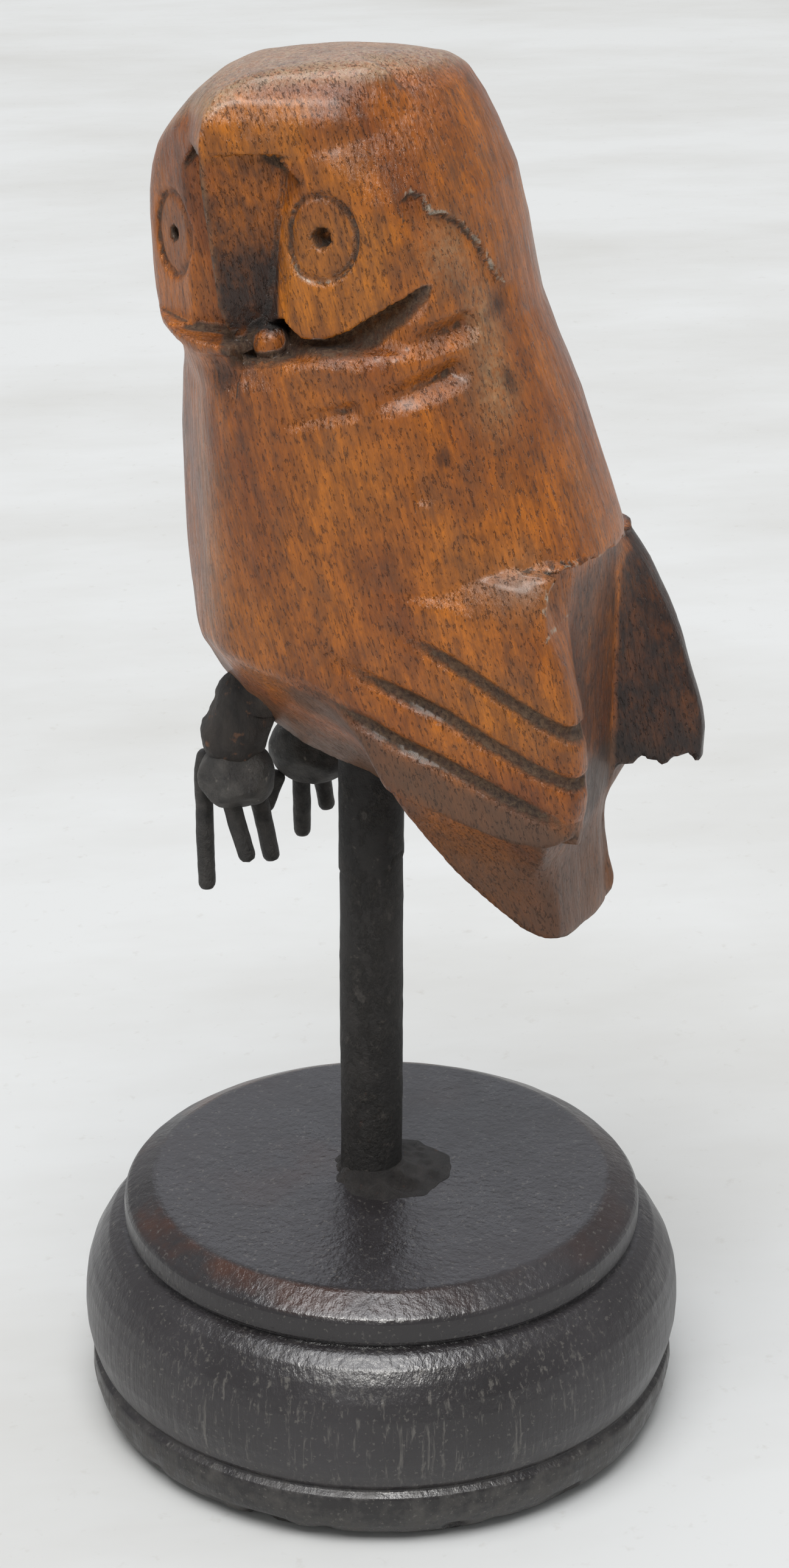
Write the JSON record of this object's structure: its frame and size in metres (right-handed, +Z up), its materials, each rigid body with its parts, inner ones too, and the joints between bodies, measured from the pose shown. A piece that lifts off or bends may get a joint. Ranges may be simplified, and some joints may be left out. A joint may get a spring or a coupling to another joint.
{
  "type": "carved wooden owl figurine",
  "caption": "Hand-carved wooden owl with turned head and wire toes, held by a round post above a turned dark wooden base.",
  "frame": {"origin": "centre of the base's underside, on the surface that the figurine stands on", "axes": "+Z up, the bird's breast faces -Y, its left wing is on +X"},
  "size_m": [0.09, 0.09, 0.2049],
  "materials": {
    "carved_wood": "hand-rubbed satin, honey to red-brown with dark grime in the cuts",
    "base_wood": "near-black satin stain, worn at the edge",
    "leg_wood": "blackened, matte",
    "foot_pitch": "hard dark mastic, matte",
    "filler_pitch": "hard dark mastic, rough",
    "toe_wire": "blackened iron wire, matte",
    "post_iron": "blackened, rough, traces of rust"
  },
  "bodies": {
    "root": {"base": "base_wood", "post": "post_iron", "filler_collar": "filler_pitch", "bird_body": "carved_wood", "left_leg": "leg_wood", "right_leg": "leg_wood", "left_foot": "foot_pitch", "right_foot": "foot_pitch", "left_toe_1": "toe_wire", "left_toe_2": "toe_wire", "left_toe_3": "toe_wire", "right_toe_1": "toe_wire", "right_toe_2": "toe_wire", "right_toe_3": "toe_wire"}
  },
  "joints": []
}
